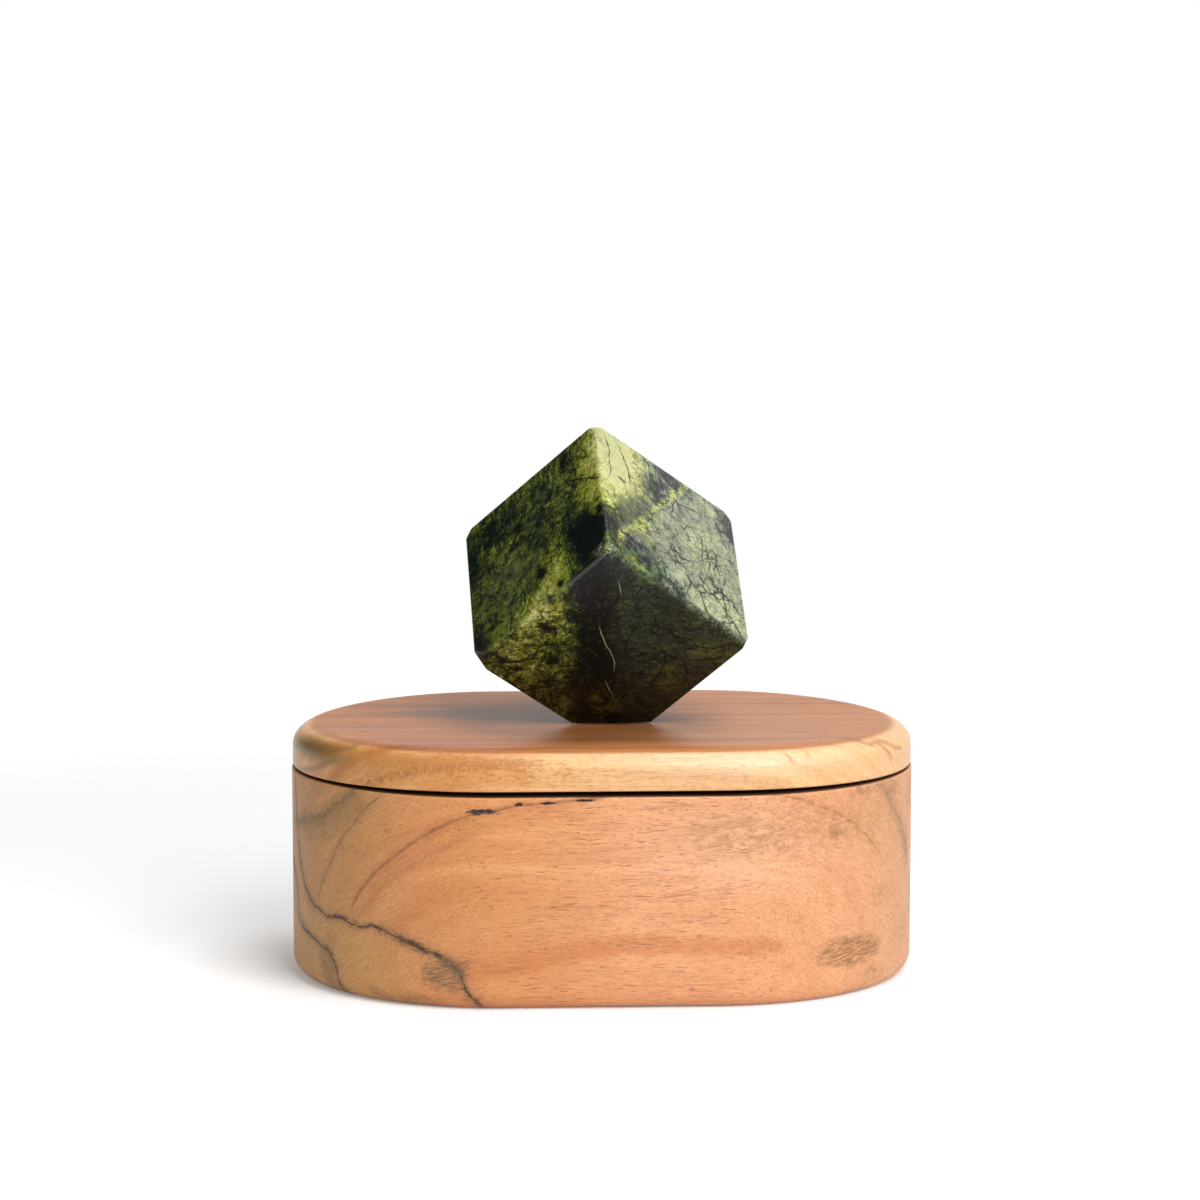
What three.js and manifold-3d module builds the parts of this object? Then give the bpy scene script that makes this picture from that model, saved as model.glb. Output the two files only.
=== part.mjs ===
import * as THREE from 'three';
import { mergeVertices } from 'three/addons/utils/BufferGeometryUtils.js';
import { RoundedBoxGeometry } from 'three/addons/geometries/RoundedBoxGeometry.js';
import Module from 'manifold-3d';

// Oval jewelry box: a hollowed wooden box, a loose lid with a locating panel under it,
// and a polished stone cube that stands on one cut corner as the lid's handle.
// Millimetres, +Z up, origin at the middle of the underside, +X along the length.

// Overall sizes of the box
const boxLength = 150;
const boxWidth = 100;
const bodyHeight = 50.3;
const lidThickness = 9.8;

// Walls and edges of the body
const wallThickness = 8;
const floorThickness = 8;
const bottomEdgeRadius = 4.6;
const rimOuterRadius = 0.7;
const rimInnerRadius = 1.2;
const floorFilletRadius = 4;

// Lid: its edge stands a hair inside the body's, and the board has cupped across its width
const lidEdgeInset = 0.2;
const lidRoundOverWidth = 6.5;
const lidRoundOverHeight = 5;
const lidLowerEdgeRadius = 0.6;
const lidCup = 1.2;
const lidSeatGap = 0.3;

// Locating panel, let into the underside of the lid
const panelDrop = 5;
const panelRecessDepth = 2;
const panelMouthClearance = 1;
const panelJointClearance = 0.3;
const panelLeadIn = 1.2;

// Stone cube on its cut corner
const stoneEdge = 46.5;
const stoneEdgeRadius = 0.9;
const stoneLeanDegrees = 3.5;
const stoneFootCut = 8.27;
const stoneCornerFacet = 1.4;
const stoneLeftCornerFacet = 2.3;
const stoneOffset = 0.7;
const stoneGlueLine = 0.3;

// Pin that joins the stone to the lid
const pinDiameter = 5;
const pinDepthInLid = 6;
const pinDepthInStone = 11;
const pinBoreClearance = 0.3;
const pinEndClearance = 0.5;
const pinChamfer = 0.5;

// Felt pad on the floor of the box
const linerThickness = 1.5;
const linerEdgeClearance = 0.5;
const linerEdgeRadius = 0.5;

// Fineness of the facets
const endSegments = 48;
const straightSegments = 6;
const roundSegments = 5;
const faceRings = 5;
const boreSegments = 24;
const stoneEdgeSegments = 2;

// Heights and plan sizes that follow from the sizes above
const halfLength = boxLength / 2;
const halfWidth = boxWidth / 2;
const endCentre = halfLength - halfWidth;
const lidUnderside = bodyHeight + lidSeatGap;
const lidTop = lidUnderside + lidThickness;
const recessCeiling = lidUnderside + panelRecessDepth;
const panelInset = wallThickness + panelMouthClearance;
const linerInset = wallThickness + floorFilletRadius + linerEdgeClearance;

// Frame of the cube: its diagonal stands upright but for the lean, and one upper corner
// faces the front
function stoneTurn() {
  const diagonalUp = new THREE.Quaternion().setFromUnitVectors(
    new THREE.Vector3(1, 1, 1).normalize(),
    new THREE.Vector3(0, 0, 1),
  );
  const upperCorner = new THREE.Vector3(1, 1, -1).applyQuaternion(diagonalUp);
  const cornerToFront = -Math.PI / 2 - Math.atan2(upperCorner.y, upperCorner.x);
  const spin = new THREE.Quaternion().setFromAxisAngle(new THREE.Vector3(0, 0, 1), cornerToFront);
  const leanAngle = -THREE.MathUtils.degToRad(stoneLeanDegrees);
  const lean = new THREE.Quaternion().setFromAxisAngle(new THREE.Vector3(0, 1, 0), leanAngle);
  return lean.multiply(spin).multiply(diagonalUp);
}

const halfDiagonal = stoneEdge * Math.sqrt(3) / 2;
const stoneFoot = lidTop + stoneGlueLine;
const stoneCentre = new THREE.Vector3(stoneOffset, 0, stoneFoot + halfDiagonal - stoneFootCut);
const stoneTurned = stoneTurn();

// Foot of the stone: where the leaning diagonal meets the cut
const footDirection = new THREE.Vector3(-1, -1, -1).normalize().applyQuaternion(stoneTurned);
const footReach = (stoneFoot - stoneCentre.z) / footDirection.z;
const pinX = stoneCentre.x + footDirection.x * footReach;

const wasm = await Module();
wasm.setup();

// Closed three.js mesh to a solid that can be cut
function toSolid(geometry) {
  const bare = geometry.clone();
  bare.deleteAttribute('normal');
  bare.deleteAttribute('uv');
  const merged = mergeVertices(bare, 1e-4);
  return new wasm.Manifold(new wasm.Mesh({
    numProp: 3,
    vertProperties: new Float32Array(merged.attributes.position.array),
    triVerts: new Uint32Array(merged.index.array),
  }));
}

// Cut solid back to a three.js geometry
function toGeometry(solid) {
  const mesh = solid.getMesh();
  const geometry = new THREE.BufferGeometry();
  geometry.setAttribute('position', new THREE.BufferAttribute(mesh.vertProperties, 3));
  geometry.setIndex(new THREE.BufferAttribute(mesh.triVerts, 1));
  geometry.computeVertexNormals();
  return geometry;
}

// Outline of the oval, a straight-sided plan with half-round ends, moved inwards by an inset.
// At an inset of half the width it closes to the line between the two end centres.
function ovalOutline(inset) {
  const radius = halfWidth - inset;
  const points = [];
  for (const side of [1, -1]) {
    const middle = side * endCentre;
    for (let i = 0; i < endSegments; i += 1) {
      const angle = Math.PI * (i / endSegments - side / 2);
      points.push([middle + radius * Math.cos(angle), radius * Math.sin(angle)]);
    }
    for (let i = 0; i < straightSegments; i += 1) {
      points.push([middle * (1 - 2 * i / straightSegments), side * radius]);
    }
  }
  return points;
}

// Solid made by carrying a profile round the oval. The profile runs from the middle of the
// underside outwards, up and back to the middle of the top, as [inset, height, cup] steps.
// The cup raises a point by that much at the long edges and by nothing on the centre line.
function ovalSolid(profile) {
  const positions = [];
  const rings = profile.map(([inset, height, cup = 0]) => ovalOutline(inset).map(([x, y]) => {
    positions.push(x, y, height + cup * (y / halfWidth) ** 2);
    return positions.length / 3 - 1;
  }));
  const faces = [];
  rings.slice(1).forEach((upper, step) => {
    const lower = rings[step];
    upper.forEach((corner, i) => {
      const next = (i + 1) % upper.length;
      faces.push(lower[i], lower[next], upper[next]);
      faces.push(lower[i], upper[next], corner);
    });
  });
  const geometry = new THREE.BufferGeometry();
  geometry.setAttribute('position', new THREE.Float32BufferAttribute(positions, 3));
  geometry.setIndex(faces);
  return withoutFoldedTriangles(mergeVertices(geometry, 1e-4));
}

// A ring that closes to a line leaves triangles with two equal corners, which are dropped
function withoutFoldedTriangles(geometry) {
  const index = geometry.index.array;
  const kept = [];
  for (let i = 0; i < index.length; i += 3) {
    const [a, b, c] = index.slice(i, i + 3);
    if (a !== b && b !== c && c !== a) {
      kept.push(a, b, c);
    }
  }
  geometry.setIndex(kept);
  geometry.computeVertexNormals();
  return geometry;
}

// Quarter-round between two directions, as profile steps about a centre
function quarterRound(centre, radii, startDegrees, cup = 0) {
  const steps = [];
  for (let i = 0; i <= roundSegments; i += 1) {
    const angle = THREE.MathUtils.degToRad(startDegrees + 90 * i / roundSegments);
    steps.push([
      centre[0] - radii[0] * Math.cos(angle),
      centre[1] + radii[1] * Math.sin(angle),
      cup,
    ]);
  }
  return steps;
}

// Steps across a wide cupped face, so that it bends smoothly
function faceSteps(fromInset, toInset, height, cup) {
  const steps = [];
  for (let i = 1; i <= faceRings; i += 1) {
    steps.push([THREE.MathUtils.lerp(fromInset, toInset, i / faceRings), height, cup]);
  }
  return steps;
}

const wood = { roughness: 0.42, metalness: 0 };
const bodyMaterial = new THREE.MeshStandardMaterial({ color: 0xd79a6b, ...wood });
const lidMaterial = new THREE.MeshStandardMaterial({ color: 0xc98f66, ...wood });
const panelMaterial = new THREE.MeshStandardMaterial({ color: 0xc98a5c, roughness: 0.55, metalness: 0 });
const stoneMaterial = new THREE.MeshStandardMaterial({ color: 0x4f5d2f, roughness: 0.12, metalness: 0 });
const pinMaterial = new THREE.MeshStandardMaterial({ color: 0xb5b8ba, roughness: 0.3, metalness: 1 });
const linerMaterial = new THREE.MeshStandardMaterial({ color: 0x2b2320, roughness: 0.95, metalness: 0 });

function namedMesh(name, geometry, material) {
  const mesh = new THREE.Mesh(geometry, material);
  mesh.name = name;
  return mesh;
}

// Upright cylinder for a bore of the pin, centred at a height
function uprightBore(length, x, height) {
  const radius = pinDiameter / 2 + pinBoreClearance;
  const cylinder = new THREE.CylinderGeometry(radius, radius, length, boreSegments);
  cylinder.rotateX(Math.PI / 2);
  cylinder.translate(x, 0, height);
  return toSolid(cylinder);
}

// Body: floor, wall and mouth in one profile
function boxBody() {
  const profile = [
    [halfWidth, 0],
    ...quarterRound([bottomEdgeRadius, bottomEdgeRadius], [bottomEdgeRadius, bottomEdgeRadius], -90),
    ...quarterRound([rimOuterRadius, bodyHeight - rimOuterRadius], [rimOuterRadius, rimOuterRadius], 0),
    ...quarterRound(
      [wallThickness - rimInnerRadius, bodyHeight - rimInnerRadius],
      [rimInnerRadius, rimInnerRadius],
      90,
    ),
    ...quarterRound(
      [wallThickness + floorFilletRadius, floorThickness + floorFilletRadius],
      [floorFilletRadius, -floorFilletRadius],
      0,
    ),
    [halfWidth, floorThickness],
  ];
  return namedMesh('box_body', ovalSolid(profile), bodyMaterial);
}

// Lid: cupped board with a rounded upper edge, a flat recess below for the panel, and
// a blind bore from above for the pin
function lid() {
  const recessInset = panelInset - panelJointClearance;
  const sideTop = lidTop - lidRoundOverHeight;
  const profile = [
    [halfWidth, recessCeiling],
    [recessInset, recessCeiling],
    [recessInset, lidUnderside, lidCup],
    ...quarterRound(
      [lidEdgeInset + lidLowerEdgeRadius, lidUnderside + lidLowerEdgeRadius],
      [lidLowerEdgeRadius, lidLowerEdgeRadius],
      -90,
      lidCup,
    ),
    ...quarterRound(
      [lidEdgeInset + lidRoundOverWidth, sideTop],
      [lidRoundOverWidth, lidRoundOverHeight],
      0,
      lidCup,
    ),
    ...faceSteps(lidEdgeInset + lidRoundOverWidth, halfWidth, lidTop, lidCup),
  ];
  const bore = uprightBore(pinDepthInLid * 2, pinX, lidTop);
  return namedMesh('lid', toGeometry(toSolid(ovalSolid(profile)).subtract(bore)), lidMaterial);
}

// Panel that drops into the mouth of the box, with a bevelled lower edge to lead it in
function locatingPanel() {
  const panelBottom = lidUnderside - panelDrop;
  const profile = [
    [halfWidth, panelBottom],
    [panelInset + panelLeadIn, panelBottom],
    [panelInset, panelBottom + panelLeadIn],
    [panelInset, recessCeiling],
    [halfWidth, recessCeiling],
  ];
  return namedMesh('locating_panel', ovalSolid(profile), panelMaterial);
}

// Block that fills the side beyond a plane, for cutting that side of the stone away
function beyondPlane(normal, distance) {
  const size = 4 * halfDiagonal;
  const block = new THREE.BoxGeometry(size, size, size);
  block.translate(0, 0, size / 2 + distance);
  block.applyQuaternion(new THREE.Quaternion().setFromUnitVectors(new THREE.Vector3(0, 0, 1), normal));
  return toSolid(block);
}

// Stone, modelled about its own centre: a softly rounded cube with small facets on its
// corners, a level foot and a bore. The lower left corner has the largest facet.
function stoneCube() {
  const block = new RoundedBoxGeometry(
    stoneEdge,
    stoneEdge,
    stoneEdge,
    stoneEdgeSegments,
    stoneEdgeRadius,
  );
  block.applyQuaternion(stoneTurned);
  let solid = toSolid(block);
  const signs = [1, -1];
  const corners = signs.flatMap((x) => signs.flatMap((y) => signs.map((z) => [x, y, z])));
  for (const corner of corners) {
    const outward = new THREE.Vector3(...corner).normalize().applyQuaternion(stoneTurned);
    const lowerLeft = outward.x < 0 && outward.y < 0 && outward.z < 0;
    const facet = lowerLeft ? stoneLeftCornerFacet : stoneCornerFacet;
    solid = solid.subtract(beyondPlane(outward, halfDiagonal - facet));
  }
  const footDepth = stoneCentre.z - stoneFoot;
  solid = solid.subtract(beyondPlane(new THREE.Vector3(0, 0, -1), footDepth));
  const bore = uprightBore(pinDepthInStone * 2, pinX - stoneCentre.x, -footDepth);
  const mesh = namedMesh('stone_cube', toGeometry(solid.subtract(bore)), stoneMaterial);
  mesh.position.copy(stoneCentre);
  return mesh;
}

// Pin: a plain dowel with chamfered ends, upright in both bores
function stonePin() {
  const bottom = lidTop - pinDepthInLid + pinEndClearance;
  const top = stoneFoot + pinDepthInStone - pinEndClearance;
  const radius = pinDiameter / 2;
  const profile = [
    [0, bottom],
    [radius - pinChamfer, bottom],
    [radius, bottom + pinChamfer],
    [radius, top - pinChamfer],
    [radius - pinChamfer, top],
    [0, top],
  ];
  const geometry = new THREE.LatheGeometry(profile.map(([r, z]) => new THREE.Vector2(r, z)), boreSegments);
  geometry.rotateX(Math.PI / 2);
  geometry.translate(pinX, 0, 0);
  return namedMesh('stone_pin', geometry, pinMaterial);
}

// Felt pad, with soft edges, inside the rounded corner of the floor
function feltLiner() {
  const bottom = floorThickness;
  const top = bottom + linerThickness;
  const edgeRadii = [linerEdgeRadius, linerEdgeRadius];
  const profile = [
    [halfWidth, bottom],
    [linerInset, bottom],
    ...quarterRound([linerInset + linerEdgeRadius, top - linerEdgeRadius], edgeRadii, 0),
    [halfWidth, top],
  ];
  return namedMesh('felt_liner', ovalSolid(profile), linerMaterial);
}

const box = new THREE.Group();
box.add(boxBody(), feltLiner());

const liftingLid = new THREE.Group();
liftingLid.add(lid(), locatingPanel(), stoneCube(), stonePin());

const group = new THREE.Group();
group.add(box, liftingLid);

export default group;
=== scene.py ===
import math

import bmesh
import bpy
from mathutils import Matrix, Vector, noise


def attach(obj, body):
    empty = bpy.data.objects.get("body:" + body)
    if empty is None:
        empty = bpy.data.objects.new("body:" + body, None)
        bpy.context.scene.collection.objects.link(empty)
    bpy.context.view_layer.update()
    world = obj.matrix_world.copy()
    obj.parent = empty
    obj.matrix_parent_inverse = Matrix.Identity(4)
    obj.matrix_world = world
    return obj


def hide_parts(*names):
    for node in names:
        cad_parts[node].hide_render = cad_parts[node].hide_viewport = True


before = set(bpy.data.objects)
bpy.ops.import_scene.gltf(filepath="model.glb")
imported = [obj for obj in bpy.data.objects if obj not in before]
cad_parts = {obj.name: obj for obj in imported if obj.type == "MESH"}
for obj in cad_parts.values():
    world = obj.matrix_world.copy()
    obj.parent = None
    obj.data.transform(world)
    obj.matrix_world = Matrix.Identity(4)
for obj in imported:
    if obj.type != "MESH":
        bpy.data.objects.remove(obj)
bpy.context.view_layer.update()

MM = 0.001

# Sizes in millimetres: the CAD's, but for the lid's cup and the stone's rounding, which follow the photo
END_RADIUS = 50
STRAIGHT_HALF = 25
BODY_HEIGHT = 50.3
WALL = 8
FLOOR = 8
BODY_LOWER_ROUND = 4.6
RIM_OUTER_ROUND = 0.7
RIM_INNER_ROUND = 1.2
FLOOR_FILLET = 4
LID_UNDERSIDE = 50.6
LID_TOP = 60.4
LID_INSET = 0.2
LID_ROUND_WIDTH = 6.5
LID_ROUND_HEIGHT = 5
LID_LOWER_ROUND = 0.6
LID_CUP = 0.8
RECESS_INSET = 8.7
RECESS_CEILING = 52.6
PANEL_INSET = 9
PANEL_BOTTOM = 45.6
PANEL_BEVEL = 1.2
STONE_EDGE = 46.5
STONE_ROUND = 0.8
STONE_LEAN = 3.5
STONE_FOOT_CUT = 8.27
STONE_FOOT = 60.7
STONE_OFFSET = 0.7
STONE_FACET = 1.4
STONE_LEFT_FACET = 2.3
BORE_RADIUS = 2.8
BORE_FLOOR_IN_LID = 54.4
BORE_TOP_IN_STONE = 71.7
LINER_INSET = 12.5
LINER_TOP = 9.5
LINER_ROUND = 0.5
LINER_BASE = FLOOR + 0.02
LINER_DIP = 0.18
INNERMOST = 30
LID_INNERMOST = 40

# Steps of the rounded ends and of the straight front and back
END_STEPS = 72
STRAIGHT_CUTS = 23

# Finishes: room beside a drawn line, how fast the fibres dip, and shades used more than once
CURVE_ROOM = 3
FIBRE_DIP = 0.0042
WHITE = (1, 1, 1)
# Painted shade of the seam between lid and body, laid on the rim's top and the lid's lowest edge
PAINTED_SEAM_SHADE = (0.075, 0.03, 0.013)

# Studio, in metres and degrees
FILL_LEVEL = 0.28
FLOOR_GREY = 0.90
FLOOR_RADIUS = 4.0
FLOOR_CLEARS = (0.16, 0.65)
FLOOR_BRIGHTENS = (0.24, 0.6)
FLOOR_LIFT = (0.22, 0.66)
LAMP_AIM = (0, 0, 0.06)
CAMERA_PLACE = (-0.04621, -0.99893, 0.2173)
CAMERA_TILT = 90 - 7.27
CAMERA_TURN = -2.62
CAMERA_LENS = 125.31
SENSOR_WIDTH = 36


# Woodturner's shapes: an oval line carried along a profile

def spot_on_oval(spot, inset, height, cup):
    """Where a point of the oval line stands, at an inset from the outside and on a cupped or flat board"""
    middle = max(-STRAIGHT_HALF, min(STRAIGHT_HALF, spot.x))
    outward = Vector((spot.x - middle, spot.y, 0)).normalized()
    placed = Vector((middle, 0, height)) + outward * (END_RADIUS - inset)
    placed.z += cup * (placed.y / END_RADIUS) ** 2
    return placed


def oval_line(mesh):
    """Closed oval: a straight front and back, and a half circle spun at either end"""
    for side in (1, -1):
        front = mesh.verts.new((side * STRAIGHT_HALF, -END_RADIUS, 0))
        bmesh.ops.spin(
            mesh, geom=[front], cent=(side * STRAIGHT_HALF, 0, 0), axis=(0, 0, 1),
            dvec=(0, 0, 0), angle=side * math.pi, steps=END_STEPS,
        )
    for side in (1, -1):
        corners = [Vector((end * STRAIGHT_HALF, side * END_RADIUS, 0)) for end in (1, -1)]
        pair = [min(mesh.verts, key=lambda v: (v.co - corner).length) for corner in corners]
        straight = mesh.edges.new(pair)
        bmesh.ops.subdivide_edges(mesh, edges=[straight], cuts=STRAIGHT_CUTS)
    return list(mesh.edges)


def pull_out(mesh, line):
    """Extrudes a line of edges, and gives back the new points and the new line"""
    grown = bmesh.ops.extrude_edge_only(mesh, edges=line)["geom"]
    fresh = {part for part in grown if isinstance(part, bmesh.types.BMVert)}
    return fresh, [
        part for part in grown
        if isinstance(part, bmesh.types.BMEdge) and set(part.verts) <= fresh
    ]


def carry_round(mesh, profile):
    """Extrudes the oval line along [inset, height, cup] steps, and gives back its first and last lines"""
    first = line = oval_line(mesh)
    for spot in mesh.verts:
        spot.co = spot_on_oval(spot.co, *profile[0])
    for step in profile[1:]:
        fresh, line = pull_out(mesh, line)
        for spot in fresh:
            spot.co = spot_on_oval(spot.co, *step)
    return first, line


def closed_shape(profile):
    """Shape of a profile carried round, its first and last lines closed with a face each"""
    mesh = bmesh.new()
    for edge_line in carry_round(mesh, profile):
        bmesh.ops.contextual_create(mesh, geom=edge_line)
    return mesh


def rounding(centre, radii, start, cup=0, steps=8):
    """Quarter round of a profile about a centre, from a start angle in degrees"""
    turned = []
    for i in range(steps + 1):
        angle = math.radians(start + 90 * i / steps)
        turned.append((
            centre[0] - radii[0] * math.cos(angle),
            centre[1] + radii[1] * math.sin(angle),
            cup,
        ))
    return turned


def upright(from_height, to_height, inset, steps=8, cup=0):
    """Steps straight up or down a wall"""
    rise = (to_height - from_height) / steps
    return [(inset, from_height + rise * i, cup) for i in range(1, steps)]


def bore(mesh, mouth, x, mouth_height, end_height, steps=48):
    """Blind bore for the pin: its mouth is bridged to the edges round it, and its end is closed"""
    ring = bmesh.ops.create_circle(
        mesh, cap_ends=False, radius=BORE_RADIUS, segments=steps,
        matrix=Matrix.Translation((x, 0, mouth_height)),
    )["verts"]
    rim = list({edge for spot in ring for edge in spot.link_edges})
    bmesh.ops.bridge_loops(mesh, edges=list(mouth) + rim)
    fresh, end = pull_out(mesh, rim)
    bmesh.ops.translate(mesh, verts=list(fresh), vec=(0, 0, end_height - mouth_height))
    bmesh.ops.contextual_create(mesh, geom=end)


def into_scene(mesh, name, finish):
    """Makes an object of a shape, in its finish"""
    data = bpy.data.meshes.new(name)
    mesh.to_mesh(data)
    mesh.free()
    data.materials.append(finish)
    made = bpy.data.objects.new(name, data)
    bpy.context.scene.collection.objects.link(made)
    return made


def finish_piece(mesh, name, body, finish, stands_for):
    """Scales a shape from millimetres, shades it softly and gives it to the body it rides on"""
    bmesh.ops.scale(mesh, vec=(MM, MM, MM), verts=mesh.verts)
    bmesh.ops.recalc_face_normals(mesh, faces=mesh.faces)
    for face in mesh.faces:
        face.smooth = True
    piece = into_scene(mesh, name, finish)
    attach(piece, body)
    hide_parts(stands_for)
    return piece


# Finishes: each is a material with short ways to wire its nodes

def arithmetic(operation, turned=False):
    """A sum, difference or product of two values, as one more node of their tree"""
    def work(self, other):
        pair = (other, self) if turned else (self, other)
        return self.steps.maths(operation, *pair)

    return work


class Value:
    """An output of a node, with plain arithmetic"""

    def __init__(self, steps, socket):
        self.steps, self.socket = steps, socket

    __add__ = __radd__ = arithmetic("ADD")
    __mul__ = __rmul__ = arithmetic("MULTIPLY")
    __sub__ = arithmetic("SUBTRACT")
    __rsub__ = arithmetic("SUBTRACT", turned=True)

    def fade(self, start, end, low=0, high=1):
        """Runs smoothly from low to high while the value goes from start to end"""
        return self.steps.output("ShaderNodeMapRange", {
            "Value": self, "From Min": start, "From Max": end, "To Min": low, "To Max": high,
        }, interpolation_type="SMOOTHSTEP")

    def swing(self, amount):
        """A noise turned to run either side of zero"""
        return (self - 0.5) * amount


class Steps:
    """The nodes of one tree, and short ways to wire them"""

    def __init__(self, tree):
        self.nodes, self.links = tree.nodes, tree.links

    def feed(self, socket, value):
        if isinstance(value, Value):
            self.links.new(value.socket, socket)
        elif socket.type == "RGBA":
            socket.default_value = (*value, 1)
        else:
            socket.default_value = value

    def node(self, kind, inputs=None, **settings):
        made = self.nodes.new(kind)
        for key, value in settings.items():
            setattr(made, key, value)
        for key, value in (inputs or {}).items():
            self.feed(made.inputs[key], value)
        return made

    def output(self, kind, inputs=None, which=0, **settings):
        return Value(self, self.node(kind, inputs, **settings).outputs[which])

    def maths(self, operation, *values):
        return self.output("ShaderNodeMath", dict(enumerate(values)), operation=operation)

    def most(self, a, b):
        return self.maths("MAXIMUM", a, b)

    def vector(self, operation, a, b=None, scale=None):
        inputs = {0: a}
        if b is not None:
            inputs[1] = b
        if scale is not None:
            inputs["Scale"] = scale
        which = "Value" if operation in ("DOT_PRODUCT", "LENGTH", "DISTANCE") else "Vector"
        return self.output("ShaderNodeVectorMath", inputs, which, operation=operation)

    def split(self, vector):
        return [Value(self, axis) for axis in self.node("ShaderNodeSeparateXYZ", {0: vector}).outputs]

    def join(self, x, y, z):
        return self.output("ShaderNodeCombineXYZ", {0: x, 1: y, 2: z})

    def ray(self, kind):
        """1 for rays of a kind, 0 for all others"""
        return self.output("ShaderNodeLightPath", which=f"Is {kind} Ray")

    def grain(self, place, detail=2, roughness=0.5, which="Fac"):
        return self.output("ShaderNodeTexNoise", {
            "Vector": place, "Scale": 1, "Detail": detail, "Roughness": roughness,
        }, which)

    def cells(self, place):
        """How far a spot is from the border of the cell it is in"""
        return self.output(
            "ShaderNodeTexVoronoi", {"Vector": place, "Scale": 1, "Randomness": 1}, "Distance",
            feature="DISTANCE_TO_EDGE",
        )

    def shift(self, place, amount, size, detail=2):
        """Place moved about by a slow noise, by an amount in the place's own units"""
        wander = self.grain(self.vector("SCALE", place, scale=1 / size), detail, which="Color")
        centred = self.vector("SUBTRACT", wander, (0.5, 0.5, 0.5))
        return self.vector("ADD", place, self.vector("SCALE", centred, scale=amount * 2))

    def mix(self, share, first, second, way="MIX"):
        return self.output(
            "ShaderNodeMix", {0: share, 6: first, 7: second}, 2, data_type="RGBA", blend_type=way,
        )

    def ramp(self, value, stops):
        made = self.node("ShaderNodeValToRGB", {0: value})
        marks = made.color_ramp.elements
        while len(marks) < len(stops):
            marks.new(0.5)
        for mark, (at, colour) in zip(marks, stops):
            mark.position = at
            mark.color = (*colour, 1)
        return Value(self, made.outputs[0])

    def curve(self, value, points, low, high):
        """Smooth line through points; value runs over the first numbers, low and high bound the second"""
        start, end = points[0][0], points[-1][0]
        share = self.output("ShaderNodeMapRange", {"Value": value, "From Min": start, "From Max": end})
        made = self.node("ShaderNodeFloatCurve", {"Factor": 1, "Value": share})
        marks = made.mapping.curves[0].points
        while len(marks) < len(points):
            marks.new(0.5, 0.5)
        for mark, (at, level) in zip(marks, points):
            mark.location = ((at - start) / (end - start), (level - low) / (high - low))
        made.mapping.update()
        return Value(self, made.outputs[0]) * (high - low) + low

    def apart(self, name, work, *given):
        """A step kept as a node group of its own: work takes the given values and returns one"""
        group = bpy.data.node_groups.new(name, "ShaderNodeTree")
        for i in range(len(given)):
            group.interface.new_socket(f"value_{i}", in_out="INPUT", socket_type="NodeSocketFloat")
        group.interface.new_socket("share", in_out="OUTPUT", socket_type="NodeSocketFloat")
        step = Steps(group)
        taken = step.node("NodeGroupInput").outputs
        share = work(step, *(Value(step, taken[i]) for i in range(len(given))))
        step.node("NodeGroupOutput", {0: share})
        return self.output("ShaderNodeGroup", dict(enumerate(given)), node_tree=group)

    def line(self, face, points, width, wobble=0, soft=0.5):
        """Share of a line through points of a face, which is a pair of values: across it and up it"""
        first, last = Vector(points[0]), Vector(points[-1])
        along = (last - first).normalized()
        turned = [(Vector(p).dot(along), Vector(p).cross(along)) for p in points]
        levels = [level for _, level in turned]
        start, end = turned[0][0], turned[-1][0]

        def work(step, across, up, width, wobble, soft):
            run = across * along.x + up * along.y
            side = across * along.y - up * along.x
            line = step.curve(run, turned, min(levels) - CURVE_ROOM, max(levels) + CURVE_ROOM)
            off = side - line + wobble
            ends = run.fade(start - 1, start + 3) * run.fade(end + 1, end - 3)
            return step.maths("ABSOLUTE", off).fade(width + soft, width) * ends

        return self.apart("line", work, *face, width, wobble, soft)

    def patch(self, face, centre, radii, soft=0.5, wobble=0):
        """Share of an oval patch of a face, soft at its edge"""
        def work(step, across, up, wobble):
            a = (across - centre[0]) * (1 / radii[0])
            b = (up - centre[1]) * (1 / radii[1])
            out = step.maths("SQRT", a * a + b * b)
            return (out + wobble).fade(1 + soft, 1 - soft)

        return self.apart("patch", work, *face, wobble)


class Finish(Steps):
    """A material whose colour is built up in stains"""

    def __init__(self, name, roughness, specular=0.5):
        self.material = bpy.data.materials.new(name)
        self.material.use_nodes = True
        super().__init__(self.material.node_tree)
        self.shader = self.nodes["Principled BSDF"].inputs
        self.shader["Roughness"].default_value = roughness
        self.shader["Specular IOR Level"].default_value = specular
        place = self.output("ShaderNodeTexCoord", which="Object")
        self.spot = self.vector("SCALE", place, scale=1 / MM)
        self.x, self.y, self.z = self.split(self.spot)

    def noise(self, size, detail=2, roughness=0.5, place=None):
        """Noise with a grain size in millimetres, one for all the axes or one for each"""
        sizes = size if isinstance(size, tuple) else (size,) * 3
        return self.grain(self.vector("DIVIDE", place or self.spot, sizes), detail, roughness)

    def stain(self, share, amount, shade):
        """Lays a shade over the colour, as much as the share and the amount say"""
        self.colour = self.mix(share * amount, self.colour, shade)

    def rough(self, height, depth, strength=1):
        made = self.output("ShaderNodeBump", {
            "Height": height, "Distance": depth * MM, "Strength": strength,
        })
        self.feed(self.shader["Normal"], made)

    def polish(self, roughness):
        self.feed(self.shader["Roughness"], roughness)

    def paint(self):
        self.feed(self.shader["Base Color"], self.colour)
        return self.material


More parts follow.
